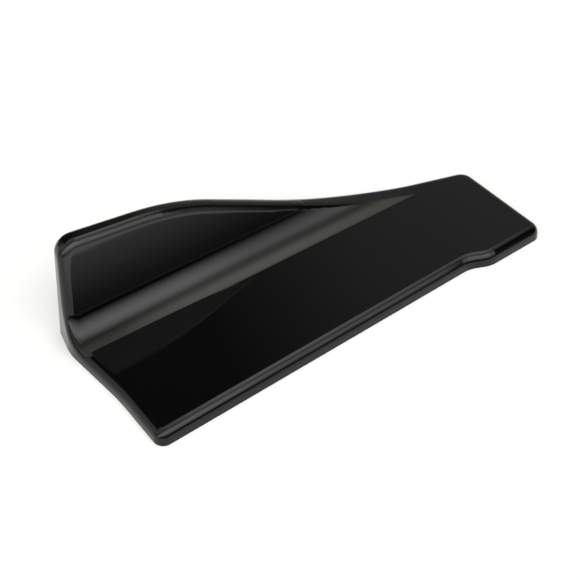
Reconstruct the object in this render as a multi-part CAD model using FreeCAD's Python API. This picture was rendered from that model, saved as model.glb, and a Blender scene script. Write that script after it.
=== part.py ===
# Car side skirt extension: one moulded shell in gloss plastic, open underneath
# A long flat plate with a turned-down rim rises at the back, over a large fillet, into a hollow fin.
# X runs along the fold between plate and fin, Y from the near edge to the fin, Z up.
import FreeCAD, Part
import math
import os

Vector = FreeCAD.Vector

# Driving dimensions, in millimetres and degrees. While it is drawn, the fold lies on Y = 0
# and X = 0 is close to the left end; the finished part is moved to its own origin at the end.

# Folded sheet, seen along X
plate_height = 13.7
fold_radius = 40.0
fin_lean = 7.0
wall = 3.0

# Top line of the fin, seen along Y
top_bend_x = 137.5
top_bend_z = 101.2
top_fall_left = 5.1
top_fall_right = 24.2
top_bend_radius = 260.0
run_out_radius = 430.0

# Outline on the ground, seen from above
left_plate_x = 1.3
left_fin_x = -7.0
left_bend_near_y = -50.0
left_bend_far_y = 29.0
left_bend_near_radius = 300.0
left_bend_far_radius = 60.0
rear_left_x = 0.7
near_left_y = -121.4
near_slant = 1.45
right_end_x = 483.2
right_slant = 1.3
tab_length = 89.2
step_middle_x = right_end_x - tab_length
step_depth = 10.1
step_slant = 25.0
step_radius = 35.0
tab_slant = 1.0
far_corner_y = 4.4
far_slant = 16.9
rear_left_y = 67.0
rear_slant = 1.9
rear_bend_radius = 500.0

# Slope of the walls: inwards going up, but the fin's back leans away from the plate
rim_draft = 8.5
right_draft = 2.0
left_draft = 6.1
far_draft = 3.0
rear_lean = 2.3

# Rounds
near_left_radius = 10.5
near_right_radius = 14.0
far_right_radius = 16.0
fin_corner_radius = 18.0
rim_round = 9.5
fade_length = 9.0
fade_height = 3.0

# Room for the solids that are cut with each other, and how near a point is to a face that it lies on
spare = 60.0
touch = 0.001


def tan(angle):
    return math.tan(math.radians(angle))


def moved_sides(points, distances):
    """The corners of a polygon whose sides are moved to their left, each by its own distance."""
    count = len(points)
    lines = []
    for i in range(count):
        a, b = points[i], points[(i + 1) % count]
        length = math.hypot(b[0] - a[0], b[1] - a[1])
        d = ((b[0] - a[0]) / length, (b[1] - a[1]) / length)
        lines.append(((a[0] - d[1] * distances[i], a[1] + d[0] * distances[i]), d))
    corners = []
    for i in range(count):
        (p, d), (q, e) = lines[i - 1], lines[i]
        cross = d[0] * e[1] - d[1] * e[0]
        t = ((q[0] - p[0]) * e[1] - (q[1] - p[1]) * e[0]) / cross
        corners.append((p[0] + d[0] * t, p[1] + d[1] * t))
    return corners


def rounded_wire(points, radii, place, inset=0.0):
    """A closed outline with each corner rounded; place turns its two coordinates into a point.

    An inset moves every side inwards. A convex corner's radius shrinks by it and a hollow one's grows.
    """
    count = len(points)
    corners = moved_sides(points, [inset] * count)
    ends = []
    for i in range(count):
        a, b, c = corners[i - 1], corners[i], corners[(i + 1) % count]
        corner = Vector(b[0], b[1], 0)
        u = (Vector(a[0], a[1], 0) - corner).normalize()
        w = (Vector(c[0], c[1], 0) - corner).normalize()
        if not radii[i]:
            ends.append((corner, corner, corner))
            continue
        convex = u.cross(w).z < 0
        radius = radii[i] - inset if convex else radii[i] + inset
        half = u.getAngle(w) / 2
        back = radius / math.tan(half)
        middle = (u + w).normalize() * (radius / math.sin(half) - radius)
        ends.append((corner + u * back, corner + middle, corner + w * back))
    edges = []
    for i in range(count):
        start, middle, end = (place(p.x, p.y) for p in ends[i])
        if radii[i]:
            edges.append(Part.Arc(start, middle, end).toShape())
        following = place(ends[(i + 1) % count][0].x, ends[(i + 1) % count][0].y)
        edges.append(Part.LineSegment(end, following).toShape())
    return Part.Wire(edges)


def ground_plan():
    """The side walls on the ground: corners anticlockwise, each with its radius and its next side's draft."""
    def near_y(x):
        return near_left_y + (x - left_plate_x) * tan(near_slant)

    def tab_y(x):
        return near_y(step_middle_x) - step_depth + (x - step_middle_x) * tan(tab_slant)

    half_step = step_depth / tan(step_slant) / 2
    step_start, step_end = step_middle_x - half_step, step_middle_x + half_step
    near_right_y = tab_y(right_end_x)
    far_right_x = right_end_x + (far_corner_y - near_right_y) * tan(right_slant)
    rear_y = rear_left_y + rear_left_x * tan(rear_slant)
    bend_x = (far_corner_y + far_right_x * tan(far_slant) - rear_y) / (tan(far_slant) - tan(rear_slant))
    bend_y = rear_y - bend_x * tan(rear_slant)
    return [
        (left_plate_x, near_left_y, near_left_radius, rim_draft),
        (step_start, near_y(step_start), step_radius, rim_draft),
        (step_end, tab_y(step_end), step_radius, rim_draft),
        (right_end_x, near_right_y, near_right_radius, right_draft),
        (far_right_x, far_corner_y, far_right_radius, far_draft),
        (bend_x, bend_y, rear_bend_radius, -rear_lean),
        (rear_left_x, rear_left_y, 0, left_draft),
        (left_fin_x, left_bend_far_y, left_bend_far_radius, left_draft),
        (left_plate_x, left_bend_near_y, left_bend_near_radius, left_draft),
    ]


def walls(bottom, inset=0.0):
    """The block inside the side walls, up to above the fin, with its upright corners rounded."""
    plan = ground_plan()
    count = len(plan)
    rings = []
    for height in (bottom, top_bend_z + spare):
        sides = [inset + height * tan(draft) for x, y, radius, draft in plan]
        rings.append([Vector(x, y, height) for x, y in moved_sides([corner[:2] for corner in plan], sides)])
    low, high = rings
    faces = [Part.Face(Part.makePolygon(ring + ring[:1])) for ring in (low[::-1], high)]
    for i in range(count):
        j = (i + 1) % count
        faces.append(Part.Face(Part.makePolygon([low[i], low[j], high[j], high[i], low[i]])))
    solid = Part.makeSolid(Part.makeShell(faces))
    for i in range(count):
        if plan[i][2]:
            turn = (low[i] - low[i - 1]).cross(low[(i + 1) % count] - low[i]).z
            radius = plan[i][2] - inset if turn > 0 else plan[i][2] + inset
            middle = Part.Vertex((low[i] + high[i]) / 2)
            upright = [edge for edge in solid.Edges if edge.distToShape(middle)[0] < touch]
            solid = solid.makeFillet(radius, upright)
    return solid


def under_sheet(inset=0.0):
    """Everything below the folded sheet: plate, fillet and leaning fin face."""
    low, high = -spare, top_bend_z + 2 * spare
    near, back = near_left_y - spare, rear_left_y + spare
    corner_y = fold_radius * tan((90 - fin_lean) / 2)
    face_top_y = corner_y + (high - plate_height) * tan(fin_lean)
    points = [
        (near, low),
        (back, low),
        (back, high),
        (face_top_y, high),
        (corner_y, plate_height),
        (near, plate_height),
    ]
    radii = [0, 0, 0, 0, fold_radius, 0]
    left, right = left_fin_x - spare, right_end_x + spare
    profile = rounded_wire(points, radii, lambda y, z: Vector(left, y, z), inset)
    return Part.Face(profile).extrude(Vector(right - left, 0, 0))


def under_ledge(inset=0.0):
    """Everything below the fin's top ledge, which falls along X and runs out into the plate."""
    low = -spare
    left, right = left_fin_x - spare, right_end_x + spare
    run_out_x = run_out_end() - run_out_radius * tan(top_fall_right / 2)
    points = [
        (left, low),
        (right, low),
        (right, plate_height),
        (run_out_x, plate_height),
        (top_bend_x, top_bend_z),
        (left, top_bend_z + (top_bend_x - left) * tan(top_fall_left)),
    ]
    radii = [0, 0, 0, run_out_radius, top_bend_radius, 0]
    near, back = near_left_y - spare, rear_left_y + spare
    profile = rounded_wire(points, radii, lambda x, z: Vector(x, near, z), inset)
    return Part.Face(profile).extrude(Vector(0, back - near, 0))


def block(bottom, inset=0.0):
    """The sharp-edged solid under the sheet and the ledge and inside the side walls."""
    solid = walls(bottom, inset).common(under_sheet(inset)).common(under_ledge(inset)).removeSplitter()
    corner = [edge for edge in solid.Edges
              if edge.BoundBox.ZMin > top_bend_z and edge.BoundBox.YLength > edge.BoundBox.XLength]
    return solid.makeFillet(fin_corner_radius - inset, corner)


def near_rim(solid, inset=0.0):
    """The long straight edge of the plate's near side, the longest one on the near side of the fold."""
    height = plate_height - inset
    level = [edge for edge in solid.Edges if edge.BoundBox.YMax < -touch
             and edge.BoundBox.ZMin > height - touch and edge.BoundBox.ZMax < height + touch]
    return max(level, key=lambda edge: edge.Length)


def run_out_end():
    """Where the ledge's last bend meets the plate, along X."""
    line_end = top_bend_x + (top_bend_z - plate_height) / tan(top_fall_right)
    return line_end + run_out_radius * tan(top_fall_right / 2)


def rounded(bottom, inset=0.0):
    """The block with its rim round.

    From the near rim the round runs on by itself, all round the plate and up and over the fin, until
    it fades out with the ledge. There it gets thinner than its own tolerance, so the form stays sharp.
    """
    sharp = block(bottom, inset)
    smooth = sharp.makeFillet(rim_round - inset, [near_rim(sharp, inset)])
    start = Vector(run_out_end() - fade_length, -touch, plate_height - inset - fade_height / 2)
    tip = Part.makeBox(fade_length, fade_length / 2, fade_height, start)
    return smooth.cut(tip).fuse(sharp.common(tip)).removeSplitter()


def side_skirt():
    """The moulded shell: the rounded outer form less the same form drawn in by the wall."""
    return rounded(0.0).cut(rounded(-wall, wall))


def at_origin(shape):
    """The shape moved so that the middle of its footprint's box is at the origin, resting on Z = 0."""
    box = shape.optimalBoundingBox(False)
    middle = Vector((box.XMin + box.XMax) / 2, (box.YMin + box.YMax) / 2, box.ZMin)
    return shape.translated(-middle)


os.makedirs("parts", exist_ok=True)
skirt = at_origin(side_skirt())
skirt.exportStep("parts/side_skirt.step")
print("solids", len(skirt.Solids), "valid", skirt.isValid(), "volume", round(skirt.Volume))
print("box", skirt.optimalBoundingBox(False))
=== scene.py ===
# %% [markdown]
# A car side skirt extension in gloss black plastic.
# The real part is one moulding: a long flat plate with a rounded, turned-down rim, which rises through
# a large concave fillet into a hollow fin. All of it already exists as one solid, so this lesson is
# about what makes such a part look real: clean shading, a deep black gloss and the studio it mirrors.

# %% Load the solid
import math
import bpy
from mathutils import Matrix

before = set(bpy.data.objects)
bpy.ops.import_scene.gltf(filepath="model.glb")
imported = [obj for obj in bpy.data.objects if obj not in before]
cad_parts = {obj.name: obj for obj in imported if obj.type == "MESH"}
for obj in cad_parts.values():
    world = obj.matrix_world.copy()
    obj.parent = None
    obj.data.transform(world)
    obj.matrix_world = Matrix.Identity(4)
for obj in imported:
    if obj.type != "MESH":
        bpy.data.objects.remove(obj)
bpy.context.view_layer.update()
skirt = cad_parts["side_skirt"]

# %% [markdown]
# The camera comes first, because every highlight on a glossy part depends on where it is seen from.
# The picture was taken from the near left corner, looking down at 43 degrees. A horizontal heading and
# a downward pitch are easier to reason about than a rotation, so the aim is worked out from those two.

# %% Camera
heading = 53.25
pitch = 43.3
camera_data = bpy.data.cameras.new("studio_camera")
camera_data.lens = 66.2
camera_data.sensor_width = 36.0
camera = bpy.data.objects.new("studio_camera", camera_data)
camera.location = (-0.49697, -0.63248, 0.74412)
camera.rotation_euler = (math.radians(90 - pitch), 0, math.radians(heading - 90))
bpy.context.scene.collection.objects.link(camera)
bpy.context.scene.camera = camera
print("camera stands", round(camera.location.length, 3), "m from the middle of the part")

# %% [markdown]
# Gloss black plastic is almost no colour at all: what the eye sees is a thin, sharp mirror on top of a
# nearly black body. A moulded surface is never a perfect mirror, though. It has a very faint waviness
# from the tool, and its polish varies a little, so the roughness and the bump come from soft noise.

# %% Helpers for node materials
def new_material(name):
    material = bpy.data.materials.new(name)
    material.use_nodes = True
    material.node_tree.nodes.clear()
    return material, material.node_tree.nodes, material.node_tree.links


def soft_noise(nodes, links, place, scale, detail):
    """A noise texture that lies still in the part's own coordinates."""
    noise = nodes.new("ShaderNodeTexNoise")
    noise.inputs["Scale"].default_value = scale
    noise.inputs["Detail"].default_value = detail
    links.new(place.outputs["Object"], noise.inputs["Vector"])
    return noise


# %% Gloss black plastic
plastic, nodes, links = new_material("gloss_black_plastic")
surface = nodes.new("ShaderNodeOutputMaterial")
gloss = nodes.new("ShaderNodeBsdfPrincipled")
gloss.inputs["IOR"].default_value = 1.42
links.new(gloss.outputs["BSDF"], surface.inputs["Surface"])

place = nodes.new("ShaderNodeTexCoord")
polish = soft_noise(nodes, links, place, 14.0, 3.0)
roughness = nodes.new("ShaderNodeMapRange")
roughness.inputs["To Min"].default_value = 0.045
roughness.inputs["To Max"].default_value = 0.085
links.new(polish.outputs["Fac"], roughness.inputs["Value"])
links.new(roughness.outputs["Result"], gloss.inputs["Roughness"])

tint = nodes.new("ShaderNodeMix")
tint.data_type = "RGBA"
tint.inputs["A"].default_value = (0.0003, 0.0003, 0.0004, 1)
tint.inputs["B"].default_value = (0.0006, 0.0006, 0.0006, 1)
links.new(polish.outputs["Fac"], tint.inputs["Factor"])
print("gloss with index", round(gloss.inputs["IOR"].default_value, 2))

# %% [markdown]
# The tall face of the real fin gets paler towards the top, most likely because it mirrors the ground
# beyond the rim. The solid's face leans back less than that would take, so a painted reflection in the
# base colour stands in for it. It grows towards the top and ends at the rounds. How far a point lies
# behind the face is found with a dot product, because the face leans back by seven degrees.

# %% Painted reflection on the fin's face
lean = math.radians(7)
face_distance = 0.0594
round_starts = face_distance + 0.0005
round_ends = face_distance + 0.003
fillet_starts = face_distance - 0.009
fillet_ends = face_distance - 0.002


def smooth_step(value, start, end, low, high):
    """A smooth step of one value from low to high."""
    step = nodes.new("ShaderNodeMapRange")
    step.interpolation_type = "SMOOTHSTEP"
    for name, number in (("From Min", start), ("From Max", end), ("To Min", low), ("To Max", high)):
        step.inputs[name].default_value = number
    links.new(value, step.inputs["Value"])
    return step.outputs["Result"]


def times(first, second):
    """The product of two values."""
    product = nodes.new("ShaderNodeMath")
    product.operation = "MULTIPLY"
    links.new(first, product.inputs[0])
    links.new(second, product.inputs[1])
    return product.outputs["Value"]


behind = nodes.new("ShaderNodeVectorMath")
behind.operation = "DOT_PRODUCT"
behind.inputs[1].default_value = (0, math.cos(lean), -math.sin(lean))
links.new(place.outputs["Object"], behind.inputs[0])
where = nodes.new("ShaderNodeSeparateXYZ")
links.new(place.outputs["Object"], where.inputs["Vector"])
on_face = times(smooth_step(behind.outputs["Value"], round_starts, round_ends, 1.0, 0.0),
                smooth_step(behind.outputs["Value"], fillet_starts, fillet_ends, 0.0, 1.0))
inside_corner = smooth_step(where.outputs["X"], -0.236, -0.226, 0.0, 1.0)
rising = smooth_step(where.outputs["Z"], 0.030, 0.115, 0.0, 1.0)
# Painted reflection: a paler grey base colour on the fin's face, rising towards the top, in place of the
# mirrored ground.
painted_reflection = nodes.new("ShaderNodeMix")
painted_reflection.data_type = "RGBA"
painted_reflection.inputs["B"].default_value = (0.027, 0.027, 0.027, 1)
links.new(tint.outputs["Result"], painted_reflection.inputs["A"])
links.new(times(times(on_face, inside_corner), rising), painted_reflection.inputs["Factor"])
links.new(painted_reflection.outputs["Result"], gloss.inputs["Base Color"])
print("face lies", face_distance, "m behind the middle")

# %% [markdown]
# In the picture the fillet's reflection goes straight from the dark room to the dark plate where it
# ends, and no line of the far ground shows between them. A slightly faster turn would explain that. The
# solid doesn't have it, and it would be under two millimetres deep, so it is a bump here: it leans the
# surface most at the start of the turn and less and less up to the height at which the solid's own
# fillet ends. Its strength fades to nothing at the left wall and at the back.

# %% Faster turn at the end of the fillet
turn_start = 0.0375
turn_end = 0.0488
turn_depth = 0.0017
still_to_turn = nodes.new("ShaderNodeMapRange")
for name, number in (("From Min", turn_start), ("From Max", turn_end), ("To Min", 1.0), ("To Max", 0.0)):
    still_to_turn.inputs[name].default_value = number
links.new(where.outputs["Z"], still_to_turn.inputs["Value"])
dip = times(still_to_turn.outputs["Result"], still_to_turn.outputs["Result"])
turn = nodes.new("ShaderNodeBump")
turn.invert = True
turn.inputs["Distance"].default_value = turn_depth
links.new(dip, turn.inputs["Height"])
links.new(times(smooth_step(where.outputs["X"], -0.2405, -0.2345, 0.0, 1.0),
                smooth_step(where.outputs["Y"], 0.066, 0.076, 1.0, 0.0)), turn.inputs["Strength"])
print("turn from", turn_start, "to", turn_end, "m, depth", turn_depth)

# %% [markdown]
# The waviness of the tool comes last and rides on the turn: one wide, soft noise, barely raised, so a
# straight panel is mirrored with a hint of a bend and no more.

# %% Waviness of the tool
waviness = soft_noise(nodes, links, place, 9.0, 1.0)
bump = nodes.new("ShaderNodeBump")
links.new(turn.outputs["Normal"], bump.inputs["Normal"])
bump.inputs["Strength"].default_value = 0.06
bump.inputs["Distance"].default_value = 0.001
links.new(waviness.outputs["Fac"], bump.inputs["Height"])
links.new(bump.outputs["Normal"], gloss.inputs["Normal"])
print("plastic nodes", len(nodes))

# %% [markdown]
# The solid arrives with the normals of its true curved faces, so it is already smooth to look at.
# It keeps its mesh, and only its material changes.

# %% Dress the moulding
skirt.data.materials.clear()
skirt.data.materials.append(plastic)
print("dressed in", [material.name for material in skirt.data.materials])

# %% [markdown]
# The part stands on a white ground. The sheet itself is a matt white that catches the light and the
# part's soft shadow. A little glow is added for what looks at it straight or in a mirror, so it comes
# out as plain white away from the part, and the glossy rim shows that same white ground.

# %% White ground
ground_material, nodes, links = new_material("white_ground")
surface = nodes.new("ShaderNodeOutputMaterial")
light_path = nodes.new("ShaderNodeLightPath")
matt = nodes.new("ShaderNodeBsdfDiffuse")
matt.inputs["Color"].default_value = (0.8, 0.8, 0.8, 1)
glow = nodes.new("ShaderNodeEmission")
glow.inputs["Strength"].default_value = 0.18
seen_white = nodes.new("ShaderNodeAddShader")
links.new(matt.outputs["BSDF"], seen_white.inputs[0])
links.new(glow.outputs["Emission"], seen_white.inputs[1])


def either(nodes, links, first, second):
    """One if any of the two ray kinds is met."""
    larger = nodes.new("ShaderNodeMath")
    larger.operation = "MAXIMUM"
    links.new(first, larger.inputs[0])
    links.new(second, larger.inputs[1])
    return larger.outputs["Value"]


straight_or_mirrored = either(nodes, links, light_path.outputs["Is Camera Ray"], either(
    nodes, links, light_path.outputs["Is Glossy Ray"], light_path.outputs["Is Transmission Ray"]))
choice = nodes.new("ShaderNodeMixShader")
links.new(straight_or_mirrored, choice.inputs["Fac"])
links.new(matt.outputs["BSDF"], choice.inputs[1])
links.new(seen_white.outputs["Shader"], choice.inputs[2])
links.new(choice.outputs["Shader"], surface.inputs["Surface"])

ground_size = 12.0
bpy.ops.mesh.primitive_plane_add(size=ground_size, location=(0, 0, 0))
ground = bpy.context.object
ground.name = "white_ground"
ground.data.materials.append(ground_material)
print("ground", ground.dimensions[:])

# %% [markdown]
# A black mirror shows lamps, not light. The concave fillet sweeps its reflection right over the part,
# from the back, over the top, down to the front, so long soft panels that lie along the part are what
# draws the pale bands along the fillet and the two fine lines along the rim. Panels that large and
# that far away are easiest to make in the world itself: the direction of a ray decides how bright the
# room is there. The arc over the part runs from 0 at the back to 180 degrees at the front.

# %% Studio room
world = bpy.data.worlds.new("studio_room")
world.use_nodes = True
nodes, links = world.node_tree.nodes, world.node_tree.links
nodes.clear()
room = nodes.new("ShaderNodeOutputWorld")
light = nodes.new("ShaderNodeBackground")
links.new(light.outputs["Background"], room.inputs["Surface"])
looking = nodes.new("ShaderNodeTexCoord")
along = nodes.new("ShaderNodeSeparateXYZ")
links.new(looking.outputs["Generated"], along.inputs["Vector"])
arc = nodes.new("ShaderNodeMath")
arc.operation = "ARCTAN2"
links.new(along.outputs["Z"], arc.inputs[0])
links.new(along.outputs["Y"], arc.inputs[1])
half_turn = nodes.new("ShaderNodeMath")
half_turn.operation = "DIVIDE"
half_turn.inputs[1].default_value = math.pi
links.new(arc.outputs["Value"], half_turn.inputs[0])


def long_panel(stops, colour):
    """A panel along the part: how bright it is at each angle of the arc, in degrees."""
    ramp = nodes.new("ShaderNodeValToRGB").color_ramp
    ramp.interpolation = "LINEAR"
    while len(ramp.elements) < len(stops):
        ramp.elements.new(0.5)
    for element, (angle, level) in zip(ramp.elements, stops):
        element.position = angle / 180
        element.color = [level * part for part in colour] + [1]
    links.new(half_turn.outputs["Value"], nodes[-1].inputs["Fac"])
    return nodes[-1].outputs["Color"]


def blend(kind, first, second):
    """Two colours added or multiplied."""
    mix = nodes.new("ShaderNodeMix")
    mix.data_type = "RGBA"
    mix.blend_type = kind
    mix.inputs["Factor"].default_value = 1.0
    links.new(first, mix.inputs["A"])
    links.new(second, mix.inputs["B"])
    return mix.outputs["Result"]


def along_part(stops):
    """How much of a panel is left at each slant along the part, from 0 for square on to 1 for its end."""
    ramp = nodes.new("ShaderNodeValToRGB").color_ramp
    while len(ramp.elements) < len(stops):
        ramp.elements.new(0.5)
    for element, (slant, level) in zip(ramp.elements, stops):
        element.position = slant
        element.color = (level, level, level, 1)
    links.new(along.outputs["X"], nodes[-1].inputs["Fac"])
    return nodes[-1].outputs["Color"]


print("room", world.name)

# %% [markdown]
# Two long panels do most of the work: a faintly warm one overhead and a neutral one in front. Each is
# weaker where the picture shows its reflection fade along the part. The room around them is dim, a low
# glow lies along the horizon, and a soft window far to the left draws the pale line on the left rim.

# %% Long panels
warm, neutral = (1.0, 1.0, 0.9), (1.0, 1.0, 1.0)
overhead = blend("MULTIPLY",
                 along_part([(0.285, 0.48), (0.30, 0.68), (0.32, 0.80), (0.355, 1.0), (0.43, 1.0),
                             (0.50, 0.8), (0.565, 0.57), (0.60, 0.43), (0.64, 0.2)]),
                 long_panel([(55.0, 0.0), (57.5, 1.4), (63, 2.1), (72, 2.35), (80, 2.35), (91, 1.6),
                             (102, 0.7), (110, 0.0)], warm))
front = blend("MULTIPLY",
              along_part([(0.30, 1.0), (0.36, 1.0), (0.43, 0.64), (0.575, 0.62), (0.595, 0.0)]),
              long_panel([(98, 0.0), (104, 0.8), (114, 2.5), (124, 3.3), (135, 2.8), (147, 1.8),
                          (157, 0.7), (164, 0.0)], neutral))
print("nodes with both panels", len(nodes))

# %% Dim room, horizon and window
dim_room = blend("MULTIPLY",
                 along_part([(0.0, 0.07), (0.36, 0.07), (0.43, 0.17), (0.50, 0.29), (0.60, 0.36)]),
                 long_panel([(0, 1.0), (55, 1.0), (66, 0.0), (100, 0.0), (140, 0.2), (180, 0.6)], neutral))
horizon = smooth_step(along.outputs["Z"], 0.0, 0.2, 0.35, 0.0)
towards_window = nodes.new("ShaderNodeVectorMath")
towards_window.operation = "DOT_PRODUCT"
towards_window.inputs[1].default_value = (-0.73, 0.58, 0.36)
links.new(looking.outputs["Generated"], towards_window.inputs[0])
window = smooth_step(towards_window.outputs["Value"], 0.87, 0.99, 0.0, 0.8)
surroundings = blend("ADD", blend("ADD", dim_room, horizon), window)
light_sum = blend("ADD", blend("ADD", overhead, front), surroundings)
links.new(light_sum, light.inputs["Color"])
bpy.context.scene.world = world
bpy.context.scene.view_settings.view_transform = "Standard"
print("room nodes", len(nodes))
